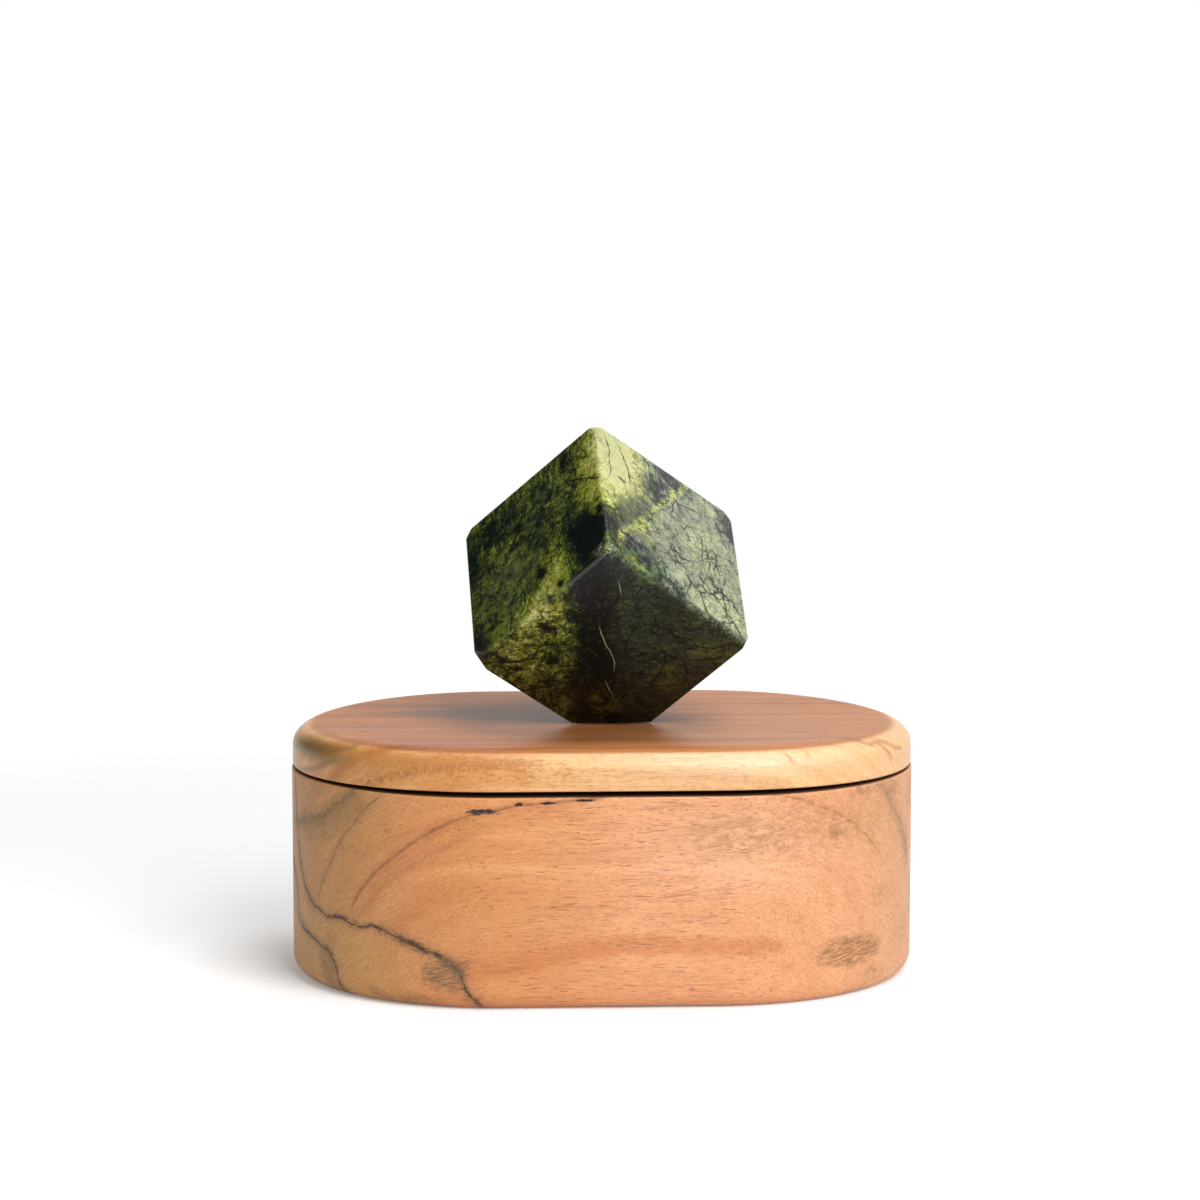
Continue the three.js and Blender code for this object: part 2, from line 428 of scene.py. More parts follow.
def round_the_wall(finish):
    """How far round the oval wall a spot is from the middle of the front, to the right, in millimetres

    The second value is measured from the middle of the front or of the back, whichever is nearer.
    """
    middle = finish.most(finish.maths("MINIMUM", finish.x, STRAIGHT_HALF), -STRAIGHT_HALF)
    beyond = finish.x - middle
    turn = finish.maths("ARCTAN2", beyond, finish.y * -1)
    mirrored = finish.maths("ARCTAN2", beyond, finish.maths("ABSOLUTE", finish.y))
    return middle + turn * END_RADIUS, middle + mirrored * END_RADIUS


def bent_place(wood, left_from, right_from):
    """Place whose height follows the fibres, which dip towards both ends of the block"""
    beyond = wood.most(left_from - wood.x, 0) + wood.most(wood.x - right_from, 0)
    dip = beyond * beyond * FIBRE_DIP
    return wood.shift(wood.join(wood.x, wood.y, wood.z + dip), 1.1, 20)


def timber_fibres(wood, place, open_pores=0.5):
    """Fine fibres, from 0 to 1, and the share of open pores: short dark strokes along the board"""
    long_fibres = wood.noise((6, 0.5, 0.5), 4, 0.62, place)
    short_fibres = wood.noise((1.4, 0.22, 0.22), 3, 0.6, place)
    fibres = long_fibres * 0.6 + short_fibres * 0.4
    strokes = wood.noise((3.6, 0.17, 0.17), place=place)
    fields = wood.noise((15, 5, 5), 3, place=place)
    limit = 0.70 - fields * (open_pores * 0.34)
    pores = (strokes - limit).fade(0, 0.05)
    return fibres, pores


def body_timber():
    """Spalted fruitwood of the body: growth rings round a heart in front of the block"""
    wood = Finish("spalted_body_timber", 0.42, 0.35)
    round_s, either_s = round_the_wall(wood)
    wall = (round_s, wood.z)
    along_grain = bent_place(wood, -18, 28)
    fibres, pores = timber_fibres(wood, along_grain)
    slow = wood.noise((90, 26, 26))
    ripple = wood.noise((26, 7, 7), 3)
    fray = wood.noise((1.6, 0.7, 0.5), 3, 0.65) - 0.5
    wobble = wood.noise(5, 3).swing(2.2) + fray * 1.3
    slow_wobble = wood.noise(16).swing(8)
    patchy = wood.noise((3, 1.4, 1.4), 4, 0.65).fade(0.34, 0.62)

    across_rings = wood.vector("DISTANCE", wood.join(0, wood.y, wood.z), (0, -66, 12))
    ring = across_rings + slow.swing(11) + ripple.swing(1.1)
    bands = wood.grain(wood.join(ring * 0.21, wood.x * 0.006, 0), 4, 0.6)
    fine_bands = wood.grain(wood.join(ring * 1.5, wood.x * 0.02, 4), 3)

    wood.colour = wood.ramp(bands, [
        (0.26, (0.50, 0.185, 0.055)),
        (0.42, (0.64, 0.260, 0.088)),
        (0.55, (0.72, 0.315, 0.118)),
        (0.74, (0.80, 0.390, 0.165)),
    ])

    sideways = either_s + slow_wobble
    # Paler to the right of the front's middle: partly the wood's tone, partly painted light
    wood.stain(sideways.fade(-34, 12), 0.45, (0.88, 0.46, 0.275))
    # Painted light: a paler patch where the light falls brightest on the front
    pale_painted_light = wood.patch(wall, (28, 37), (20, 9), 0.7, wobble * 0.1)
    wood.stain(pale_painted_light, 0.35, (0.95, 0.56, 0.36))
    # Painted shade: darker towards the bottom of the wall, most at the left and least at the right
    low = (wood.z + slow_wobble).fade(27, 7) * sideways.fade(44, -24, 0.3)
    wood.stain(low, 0.42, (0.56, 0.21, 0.075))
    ruddy = wood.patch(wall, (-27, 17), (22, 12), 0.7, wobble * 0.1)
    wood.stain(ruddy, 0.34, (0.50, 0.19, 0.072))
    wood.stain(fine_bands.fade(0.44, 0.68), 0.13, (0.54, 0.20, 0.07))
    wood.stain(sideways.fade(36, 84), 0.4, (0.60, 0.325, 0.16))
    olive = (sideways + (30 - wood.z) * 0.25).fade(-50, -66)
    wood.stain(olive, 0.62, (0.57, 0.30, 0.108))
    lower_left = sideways.fade(-34, -60) * wood.z.fade(24, 12)
    wood.stain(lower_left, 0.5, (0.60, 0.35, 0.115))

    def streak(points, shades, spread=wobble):
        """A line of the figure: each of its shades has a width, a softness, an amount and a colour"""
        for width, soft, amount, shade in shades:
            share = wood.line(wall, points, width, spread, soft)
            wood.stain(share, (0.55 + patchy * 0.45) * amount, shade)

    calm = wobble * 0.25 + fray * 0.5
    ragged = wobble + fray * 3
    # Growth lines: olive ones at the left end, arches, and those that fall to the right
    streak([
        (-95, 37.6), (-88.5, 38.9), (-82.2, 40.3), (-76.3, 42), (-72.4, 43.9), (-68.9, 46.2),
        (-66.4, 47.7), (-62, 50.4),
    ], [
        (0.7, 2.4, 0.62, (0.19, 0.13, 0.04)), (0.1, 0.9, 0.65, (0.11, 0.08, 0.028)),
        (0.02, 0.35, 0.7, (0.07, 0.05, 0.022)),
    ], ragged)
    streak([
        (-87, 36.6), (-83.6, 37.9), (-74.4, 40.4), (-68.2, 43.4), (-63.5, 46.6), (-59.5, 49),
    ], [(1.4, 3.6, 0.55, (0.25, 0.17, 0.055))], ragged)
    streak([
        (-77.5, 21), (-76.6, 24.4), (-71.7, 31.8), (-68.2, 37.1), (-63.6, 41.9), (-60.4, 45.4),
        (-56.7, 48.4), (-54, 50.5),
    ], [(0.1, 2.4, 0.3, (0.30, 0.18, 0.075)), (0.05, 0.45, 0.6, (0.17, 0.085, 0.035))], calm)
    streak([
        (-64, 16), (-61.7, 20.6), (-58.2, 24.7), (-53.7, 28.8), (-47.2, 33.6), (-40.6, 37.6),
        (-31.2, 42.1),
    ], [(0.2, 2.4, 0.26, (0.38, 0.15, 0.055)), (0.05, 0.4, 0.3, (0.26, 0.11, 0.04))], calm)
    streak([
        (-65, 20), (-62.3, 25.2), (-58.8, 29.3), (-55, 32.9), (-49.5, 37), (-45, 40.2),
        (-39.5, 43.4), (-32.8, 46.2), (-26.9, 47.3), (-21.6, 48.5), (-15.9, 48.9), (-8.3, 49.6),
        (0, 50.4),
    ], [
        (0.3, 2.4, 0.38, (0.42, 0.14, 0.045)), (0.1, 0.5, 0.72, (0.17, 0.06, 0.024)),
    ], calm)
    streak([
        (-59.5, 26), (-56, 30), (-51, 34.4), (-45, 38.2), (-38.5, 41.4), (-31, 44), (-22, 46),
        (-8, 47.4),
    ], [(0.8, 2.8, 0.36, (0.50, 0.175, 0.058))])
    streak([
        (36, 50.3), (40.6, 49.7), (45.1, 48.6), (49.9, 46.6), (55.1, 44.3), (59.3, 42),
        (64, 38.7), (67.5, 35.6), (71.4, 31.8),
    ], [(0.3, 2.2, 0.3, (0.48, 0.19, 0.07)), (0.06, 0.45, 0.55, (0.24, 0.095, 0.035))], calm)
    streak([
        (68, 50.6), (70.6, 49.4), (74.4, 46.2), (76.9, 43.2), (81.4, 38.7), (84.2, 35),
        (86.5, 31.4), (88, 26),
    ], [
        (0.6, 3.2, 0.4, (0.26, 0.15, 0.075)), (0.1, 0.9, 0.45, (0.13, 0.075, 0.038)),
    ], ragged)
    for points, amount in (
        ([(10, 26.2), (17.2, 27.3), (23.3, 28.2), (28, 28.4)], 0.42),
        ([(30, 40.4), (37.3, 41.3), (42.3, 43.1)], 0.4),
        ([(6, 47.2), (14.1, 48), (20, 48.2)], 0.42), ([(-31, 8.8), (-25.2, 9.4), (-19.1, 10.4)], 0.5),
        ([(-8, 37), (4, 38.2), (16, 38)], 0.25), ([(-22, 24), (-8, 24.6), (4, 23.8)], 0.25),
        ([(2, 6.2), (16, 5.6), (32, 6.4)], 0.25),
    ):
        streak(points, [(0.05, 0.5, amount, (0.28, 0.10, 0.038))], calm)

    streak([
        (-34, 8.2), (-29.3, 9.4), (-19.1, 11.4), (-8.8, 13.9), (-1.2, 15.2), (9.5, 15.4),
        (19.8, 15), (30.1, 14.6), (42, 14.4),
    ], [(0.8, 2.4, 0.62, (0.52, 0.165, 0.05))])
    # Fibres that turn diagonal on the round ends, a hatched knot and dark smudges
    outward = wood.maths("ABSOLUTE", either_s)
    end_fibres = wood.grain(wood.join(
        (wood.z * 0.5 - outward * 0.87) * 0.22,
        (wood.z * 0.87 + outward * 0.5) * 2.2, 0,
    ), 4, 0.62)
    diagonals = wood.join(round_s * 0.3, wood.z * 2.2 - round_s * 0.3, 0)
    hatch = wood.grain(diagonals, 3, 0.6).fade(0.43, 0.54)
    on_ends = outward.fade(34, 52)
    wood.stain(end_fibres.fade(0.5, 0.64) * on_ends, 0.34, (0.40, 0.185, 0.07))
    wood.stain(end_fibres.fade(0.46, 0.34) * on_ends, 0.22, (0.86, 0.55, 0.30))
    knot = wood.patch(wall, (59.5, 11.2), (10.5, 3.7), 0.3, wobble * 0.2)
    wood.stain(knot * (0.22 + hatch * 0.78), 0.82, (0.22, 0.105, 0.036))
    for at, size, amount in (
        ((62.7, 49), (3.4, 1.3), 0.55), ((54.5, 39.9), (2.6, 1.3), 0.5), ((77, 47.6), (4, 2), 0.5),
        ((86, 33), (2.6, 4), 0.45), ((71.6, 23.3), (4, 2.4), 0.32), ((90, 44), (3, 4), 0.45),
        ((68, 4.8), (3, 2), 0.5), ((92, 20), (3, 5), 0.35), ((84, 12), (4, 3), 0.25),
        ((-46, 2), (5, 1.4), 0.5), ((-72, 13.6), (2.4, 1.4), 0.4), ((-53.6, 42.1), (1.3, 0.9), 0.6),
        ((-66, 36), (3, 1.5), 0.3),
    ):
        share = wood.patch(wall, at, size, 0.8, wobble * 0.3) * patchy
        wood.stain(share, amount, (0.17, 0.085, 0.042))

    # Calm growth lines on the back
    behind = wood.y.fade(4, 12)
    for points, width, soft, amount, shade in (
        ([(-70, 14), (-58, 26), (-40, 36), (-16, 42), (14, 44)], 0.1, 0.5, 0.6, (0.20, 0.075, 0.03)),
        ([(-66, 8), (-52, 20), (-34, 29), (-8, 34), (22, 35)], 0.4, 2.6, 0.4, (0.46, 0.16, 0.055)),
        ([(20, 47), (36, 44), (50, 38), (62, 27), (70, 12)], 0.1, 0.5, 0.5, (0.22, 0.09, 0.035)),
        ([(-30, 12), (-6, 15), (24, 14), (46, 11)], 0.8, 2.6, 0.45, (0.52, 0.175, 0.055)),
        ([(34, 6), (48, 10), (58, 9), (68, 14)], 0.3, 0.9, 0.6, (0.10, 0.055, 0.028)),
    ):
        share = wood.line((wood.x, wood.z), points, width, calm, soft)
        wood.stain(share * behind, amount, shade)

    smudged = wood.patch(wall, (42, 42), (26, 6), 0.6, wobble * 0.2) * patchy
    wood.stain(smudged, 0.34, (0.42, 0.20, 0.095))
    wood.stain(smudged * hatch, 0.3, (0.25, 0.11, 0.05))
    long_grain = wood.noise((16, 2.2, 1.5), 4, 0.62, along_grain).fade(0.52, 0.66)
    wood.stain(long_grain * sideways.fade(-30, 0), 0.26, (0.50, 0.20, 0.085))

    # Black spalt lines that run down from the left end, with a blotch beside them
    spalt = [
        [(-93.5, 50.5), (-93, 46), (-91.6, 38.6), (-90.4, 33.2), (-87.4, 27.2), (-82.1, 21.6),
         (-76, 19.1), (-67.3, 18.8), (-61.9, 17.6), (-57.1, 18.2), (-50, 16.1), (-44, 14.2),
         (-39.1, 12.3), (-35.8, 9.6), (-34.4, 6), (-31.2, 2), (-28, -3)],
        [(-103, 31), (-96.1, 26.6), (-91.4, 21.3), (-89.6, 15.4), (-82.3, 12.4), (-77.1, 11.4),
         (-72.7, 9.8), (-70, 7), (-69.4, 3.7), (-67, -1)],
    ]
    thick = wood.noise(8).fade(0.38, 0.62) * 0.55
    for points in spalt:
        streak(points, [
            (0.3, 3.2, 0.36, (0.19, 0.12, 0.055)), (0.1 + thick, 1.1, 0.6, (0.085, 0.05, 0.025)),
        ], ragged)
        streak(points, [(thick * 0.6 + 0.04, 0.34, 0.95, (0.030, 0.016, 0.009))])
    blotch = wood.patch(wall, (-39, 8.4), (5.2, 3.8), 0.35, ragged * 0.3)
    wood.stain(blotch * (0.4 + hatch * 0.6), 0.85, (0.12, 0.082, 0.044))
    streak([(-37, 10.8), (-34, 11.6), (-30, 12.2)], [(0.1, 0.8, 0.5, (0.09, 0.05, 0.028))])
    streak([(-76, 11), (-74, 7), (-72.5, 2), (-72, -2)], [(0.8, 3.4, 0.55, (0.12, 0.08, 0.042))], ragged)
    streak([(-60, 3.4), (-54, 1.6), (-48, 0)], [(0.4, 1.6, 0.5, (0.14, 0.07, 0.03))])

    mottle = wood.noise((1.1, 0.6, 0.6), 3, 0.7)
    wood.stain(mottle.fade(0.5, 0.68), 0.26, (0.40, 0.165, 0.06))
    wood.stain(fibres.fade(0.5, 0.64), 0.34, (0.38, 0.15, 0.055))
    wood.stain(fibres.fade(0.46, 0.34), 0.24, (0.92, 0.53, 0.30))
    wood.stain(pores, 0.7, (0.19, 0.06, 0.022))

    # Bark left along the rim, with glints in its widest piece
    bark_edge = fray * 2.6
    bark = 0
    for at, size, soft in (
        ((-29.8, 47), (3.3, 0.62), 0.25), ((-21.6, 48.6), (0.9, 0.5), 0.3),
        ((-14.9, 48.9), (1.7, 0.34), 0.3), ((-6.6, 49.5), (2.2, 0.26), 0.3),
    ):
        bark = wood.most(bark, wood.patch(wall, at, size, soft, bark_edge))
    wood.stain(bark, 0.97, (0.008, 0.005, 0.004))
    glints = wood.patch(wall, (-29.8, 46.9), (2.6, 0.3), 0.3, bark_edge) * mottle.fade(0.48, 0.56)
    wood.stain(glints, 0.8, (0.20, 0.11, 0.06))

    # Painted shade in the seam: the top of the rim darkened
    wood.stain(wood.z.fade(BODY_HEIGHT - 0.22, BODY_HEIGHT - 0.08), 0.9, PAINTED_SEAM_SHADE)
    sunk = pores * 0.6 + bark * 3
    wood.rough(fibres * 0.5 - sunk, 0.10, 0.5)
    wood.polish(fibres * 0.16 + (0.42 - bark * 0.25))
    return wood.paint()


def lid_timber():
    """Straight-grained board of the lid: a browner, streaky top and a paler edge, green at its left"""
    wood = Finish("oiled_lid_timber", 0.36, 0.36)
    round_s, either_s = round_the_wall(wood)
    wall = (round_s, wood.z)
    top = (wood.x, wood.y)
    along_grain = wood.shift(wood.spot, 0.8, 24)
    fibres, pores = timber_fibres(wood, along_grain, 0.42)
    fray = wood.noise((1.8, 0.6, 0.5), 3, 0.65) - 0.5
    wobble = wood.noise((6, 5, 5), 3).swing(2) + fray * 1.1
    patchy = wood.noise((6, 1.4, 1.4), 4, 0.65).fade(0.34, 0.62)
    slow = wood.noise((110, 22, 22))
    ripple = wood.noise((30, 6, 6))
    across_rings = wood.vector("DISTANCE", wood.join(0, wood.y, wood.z), (0, 12, -30))
    sideways = wood.y + wood.z * 0.45
    ring = sideways * 0.7 + across_rings * 0.3 + slow.swing(9) + ripple.swing(1.2)
    bands = wood.grain(wood.join(ring * 0.24, wood.x * 0.004, 7), 4, 0.6)
    fine_bands = wood.grain(wood.join(ring * 1.4, wood.x * 0.015, 2), 3)
    wood.colour = wood.ramp(bands, [
        (0.28, (0.48, 0.200, 0.052)),
        (0.44, (0.68, 0.315, 0.098)),
        (0.57, (0.79, 0.42, 0.155)),
        (0.74, (0.87, 0.52, 0.225)),
    ])

    wood.stain((either_s + wobble * 3).fade(-42, 6), 0.55, (0.90, 0.585, 0.32))
    wood.stain(fine_bands.fade(0.44, 0.68), 0.3, (0.50, 0.225, 0.08))
    # The top: browner, with dark streaks and lines along the board; the wide dark patch at (2, -18), in
    # front of the stone's foot, is painted shade of the stone
    on_top = wood.z.fade(59.75, 60.42)
    streaky = wood.noise((46, 1.5, 1.5), 4, 0.6).fade(0.40, 0.58)
    browner = wood.mix(0.85, wood.colour, (0.50, 0.25, 0.105), "MULTIPLY")
    wood.colour = wood.mix(on_top, wood.colour, browner)
    for at, size, amount in (
        ((-36, 12), (24, 5), 0.9), ((-46, 24), (18, 2.6), 0.7), ((-20, 4), (20, 2.4), 0.7),
        ((-52, -8), (14, 2.2), 0.35), ((8, -32), (30, 5), 0.55), ((2, -18), (17, 12), 0.5),
        ((-30, -22), (26, 1.4), 0.3), ((40, 30), (28, 2), 0.3),
    ):
        share = wood.patch(top, at, size, 0.7, wobble * 0.3)
        wood.stain(share * on_top, (0.3 + streaky * 0.7) * amount, (0.11, 0.055, 0.026))
    for points, width, amount in (
        ([(16, 23), (30, 23.4), (48, 23.8), (66, 23.2)], 0.4, 0.7),
        ([(-52, -31), (-20, -32), (7, -32.6), (34, -32.4), (63, -31.2)], 0.3, 0.6),
        ([(-60, -35), (-38, -43), (-10, -44.6), (20, -44)], 0.3, 0.4),
        ([(-58, 8), (-30, 6), (0, 9), (40, 7.5), (64, 9)], 0.5, 0.4),
        ([(-60, -14), (-30, -18), (0, -17), (40, -20), (66, -18)], 0.4, 0.4),
        ([(-40, 38), (0, 37), (42, 38)], 0.5, 0.4),
    ):
        share = wood.line(top, points, width, wobble * 0.4, 0.8)
        wood.stain(share * on_top, (0.4 + patchy * 0.6) * amount, (0.13, 0.065, 0.035))
    # The edge: green at the left, then flecks, a cream patch that is painted highlight, and short cracks
    on_side = wood.z.fade(60.6, 58.8)
    green = wood.patch(wall, (-80, 57.4), (14, 2.6), 0.6, wobble * 0.4)
    wood.stain(green * on_side, 0.78, (0.13, 0.098, 0.024))
    for points in (
        [(-96, 56.4), (-88, 56.9), (-79.3, 57.8), (-71.3, 58.4), (-63.4, 60.2)],
        [(-92, 50.8), (-81.9, 52.5), (-71.4, 55.6), (-67.2, 57.1)],
    ):
        wood.stain(wood.line(wall, points, 0.15, wobble * 0.6, 1.1), 0.5, (0.13, 0.10, 0.045))
    fleck_field = wood.patch(wall, (-36, 56.6), (26, 3.4), 0.5, wobble)
    flecks = wood.noise((1.5, 0.8, 0.7), 3, 0.6).fade(0.52, 0.62)
    wood.stain(flecks * (fleck_field * 0.7 + 0.3), 0.72, (0.38, 0.14, 0.04))
    ridge = wood.line(wall, [
        (-62, 51.6), (-52.3, 53.9), (-47.1, 55.4), (-39.5, 56.8), (-30, 57.6), (-20, 58.4),
    ], 0.35, wobble * 0.5, 1.3)
    strokes = wood.grain(wood.join(round_s * 1.5, wood.z * 0.5, 0), 3, 0.6).fade(0.42, 0.56)
    wood.stain(ridge * strokes, 0.75, (0.30, 0.10, 0.03))
    # Painted highlight: a cream patch on the middle right of the edge
    lid_painted_highlight = wood.patch(wall, (32, 58), (24, 3), 0.7, wobble * 0.3) * on_side
    wood.stain(lid_painted_highlight, 0.5, (0.95, 0.68, 0.44))
    golden = wood.patch(wall, (-44, 56), (26, 5), 0.5, wobble) * on_side
    wood.stain(golden, 0.5, (0.58, 0.215, 0.045))
    dusk = wood.patch(wall, (-42, 58.2), (24, 1.6), 0.6, wobble) * on_side
    wood.stain(dusk, 0.5, (0.44, 0.185, 0.05))
    for points in (
        [(60, 61), (64.6, 60.4), (68.1, 59.3), (75.4, 58.7), (79.3, 57.1), (84, 56.4)],
        [(71, 59), (74.2, 56.8), (76.7, 53.8)], [(40.5, 60.4), (43.3, 56.4)], [(46.2, 60), (48, 57.6)],
    ):
        wood.stain(wood.line(wall, points, 0.12, wobble * 0.5, 0.8), 0.55, (0.34, 0.13, 0.045))
    wood.stain(fibres.fade(0.5, 0.66), 0.26, (0.42, 0.175, 0.06))
    wood.stain(fibres.fade(0.46, 0.34), 0.14, (0.93, 0.62, 0.36))
    wood.stain(pores, 0.5, (0.26, 0.095, 0.035))
    # Painted shade in the seam: the lid's lowest edge darkened
    above_underside = wood.z - wood.y * wood.y * (LID_CUP / END_RADIUS ** 2)
    lid_seam_shade = above_underside.fade(LID_UNDERSIDE + 0.25, LID_UNDERSIDE + 0.05)
    wood.stain(lid_seam_shade, 0.9, PAINTED_SEAM_SHADE)
    wood.rough(fibres * 0.5 - pores * 0.6, 0.08, 0.45)
    wood.polish(fibres * 0.14 + (0.26 + on_top * 0.1))
    return wood.paint()


def panel_timber():
    """Plain board of the locating panel, sanded and oiled"""
    wood = Finish("sanded_panel_timber", 0.5)
    slow = wood.noise((70, 16, 16), 3)
    ring = wood.y + slow * 16
    bands = wood.grain(wood.join(ring * 0.3, wood.x * 0.004, 3), 4, 0.6)
    wood.colour = wood.ramp(bands, [
        (0.3, (0.44, 0.20, 0.08)), (0.5, (0.60, 0.30, 0.125)), (0.72, (0.72, 0.40, 0.18)),
    ])
    fibres, pores = timber_fibres(wood, wood.shift(wood.spot, 0.8, 24))
    wood.stain(fibres.fade(0.5, 0.66), 0.25, (0.36, 0.16, 0.06))
    wood.stain(pores, 0.55, (0.22, 0.09, 0.035))
    wood.rough(fibres * 0.4 - pores * 0.6, 0.1, 0.45)
    return wood.paint()


def stone_axes():
    """The cube's three edge directions: upright on a corner but for the lean, one corner to the front"""
    upright_turn = Vector((1, 1, 1)).rotation_difference(Vector((0, 0, 1)))
    corner = upright_turn @ Vector((1, 1, -1))
    spin = Matrix.Rotation(-math.pi / 2 - math.atan2(corner.y, corner.x), 3, "Z")
    lean = Matrix.Rotation(-math.radians(STONE_LEAN), 3, "Y")
    return lean @ spin @ upright_turn.to_matrix()


STONE_TURN = stone_axes()
HALF_DIAGONAL = STONE_EDGE * math.sqrt(3) / 2
STONE_CENTRE = Vector((STONE_OFFSET, 0, STONE_FOOT + HALF_DIAGONAL - STONE_FOOT_CUT))
FOOT_WAY = STONE_TURN @ Vector((-1, -1, -1)).normalized()
PIN_X = STONE_CENTRE.x + FOOT_WAY.x * (STONE_FOOT - STONE_CENTRE.z) / FOOT_WAY.z


def green_stone():
    """Polished serpentine: yellow-green cloud, black cracks and a dark band down the front corner"""
    stone = Finish("polished_green_stone", 0.3, 0.17)
    from_middle = stone.vector("SUBTRACT", stone.spot, STONE_CENTRE)
    left, right, back = (
        stone.vector("DOT_PRODUCT", from_middle, STONE_TURN.col[i]) for i in range(3)
    )
    stone.spot = stone.join(left, right, back)
    warped = stone.shift(stone.shift(stone.spot, 2.0, 6, 3), 0.7, 1.6, 3)
    warped_axes = stone.split(warped)
    frayed = stone.noise(3, 5, 0.7) - 0.5
    bends = stone.noise(2.4).swing(1.6)

    def cloud(centre, radii, edge=0, soft=0.6):
        """Share of a soft-edged cloud round a spot of the stone"""
        def work(step, x, y, z, edge):
            off = step.vector("SUBTRACT", step.join(x, y, z), centre)
            out = step.vector("LENGTH", step.vector("DIVIDE", off, radii))
            return (out + edge).fade(1 + soft, 1 - soft)

        return stone.apart("cloud", work, *warped_axes, edge)

    def stain_clouds(spots, mottle, amount, shade, edge=frayed, soft=0.6):
        """Lays clouds of a shade, broken up by a mottle"""
        for centre, radii in spots:
            stone.stain(cloud(centre, radii, edge, soft) * mottle, amount, shade)

    # How light the stone is: noises of three sizes, clouds, and the dark band on the lower face
    broad = stone.noise(8, 3, 0.55, warped)
    medium = stone.noise(2.4, 6, 0.72, warped)
    small = stone.noise(0.55, 4, 0.7)
    streaks = stone.noise((0.9, 0.9, 7), 4, 0.62, stone.shift(stone.spot, 0.8, 4))
    upon_left = left.fade(21.4, 22.8)
    upon_right = right.fade(21.4, 22.8)
    below = back.fade(-21.5, -22.8)
    upright = stone.most(back.fade(-4, 8), upon_right * 0.4)
    even = 1 + upon_left * -0.3
    tone = (broad.swing(0.6) + medium.swing(1.0)) * even
    tone += small.swing(0.95) + 0.45
    for size, amount in ((2.6, 0.14), (0.9, 0.13)):
        flakes = stone.noise(size, 5, 0.62, warped)
        tone += flakes.fade(0.47, 0.53).swing(amount)
    tone += streaks.swing(0.7) * upright
    # Partly painted sheen: the upper right face lighter all over
    tone += upon_right * 0.24

    for centre, radii, amount in (
        ((23, 20.6, 8), (4, 3.6, 15), 0.24), ((18, 24, 12), (7, 5, 13), 0.26),
        ((13, 24, 16), (7, 4, 8), 0.16), ((24, 5, -18), (4, 7, 6), 0.22),
        ((23, -2, -21), (4, 6, 4), 0.20), ((-17, 24, -19), (10, 5, 5), 0.22),
        ((-9, 24, 4), (8, 4, 9), 0.10), ((-19, 15, -24), (5, 5, 3), 0.20),
        ((-15, 4, -24), (4, 5, 3), 0.20), ((18, -9, -24), (9, 12, 4), 0.13),
        ((20.5, -15, -24), (4, 5, 3), 0.2), ((12.5, -11, -24), (4, 4, 3), -0.14),
        ((8, -16, -24), (8, 6, 3), 0.08), ((20, 1, -24), (4, 6, 3), 0.08),
        ((24, 17.5, -12.5), (5, 5.5, 8), -0.62), ((24, 2, 14), (4, 5, 5), -0.16),
        ((24, 21.5, -12), (4, 4, 5.5), -0.34), ((24, 12, -5), (3, 3, 7), -0.18),
        ((24, 1, 2), (3, 6, 6), -0.14), ((24, -12, 15), (4, 6, 6), -0.26),
        ((24, -20, -19), (4, 5, 5), -0.30), ((24, -22, 10), (4, 4, 9), -0.26),
        ((-3, 24, 21), (6, 4, 5), -0.46), ((4, 24, 12.5), (4.5, 4, 4.5), -0.46),
        ((10, 24, 2.5), (4, 4, 4.5), -0.42), ((15.5, 24, -4), (4, 4, 5), -0.44),
        ((18.5, 24, -15), (4, 4, 7), -0.40), ((10, 24, -16), (6, 4, 5), -0.40),
        ((3, 24, -21), (6, 4, 3.5), -0.34), ((-21, 24, 17), (4, 4, 6), -0.46),
    ):
        tone += cloud(centre, radii, frayed) * amount
    across = left - right + (frayed * 10 + broad.swing(12))
    band = across.fade(17, 8) * across.fade(-8, -2)
    dusk = across.fade(11, 6) * right.fade(23, 20)
    tone -= band * below * 0.40
    tone -= dusk * below * 0.14

    stone.colour = stone.ramp(tone, [
        (0.05, (0.002, 0.005, 0.004)),
        (0.22, (0.008, 0.015, 0.009)),
        (0.36, (0.032, 0.048, 0.011)),
        (0.50, (0.092, 0.116, 0.017)),
        (0.64, (0.195, 0.220, 0.028)),
        (0.78, (0.37, 0.390, 0.070)),
        (0.95, (0.66, 0.65, 0.24)),
    ])

    # Shades that belong to one face or another
    cooler = stone.mix(1, stone.colour, (0.8, 1.0, 1.05), "MULTIPLY")
    stone.colour = stone.mix(below * across.fade(12, -4), stone.colour, cooler)

    # The upper right face washed pale grey where it is light: partly the stone's paler face, partly
    # painted sheen
    pale_side = (left + frayed * 9).fade(11, 2)
    pale_and_painted_sheen = upon_right * pale_side * tone.fade(0.25, 0.55)
    stone.stain(pale_and_painted_sheen, 0.55, (0.29, 0.335, 0.295))
    top_corner = cloud((20, 24, 17), (8, 5, 10)) * upon_right
    stone.stain(top_corner, 0.5, (0.44, 0.45, 0.20))
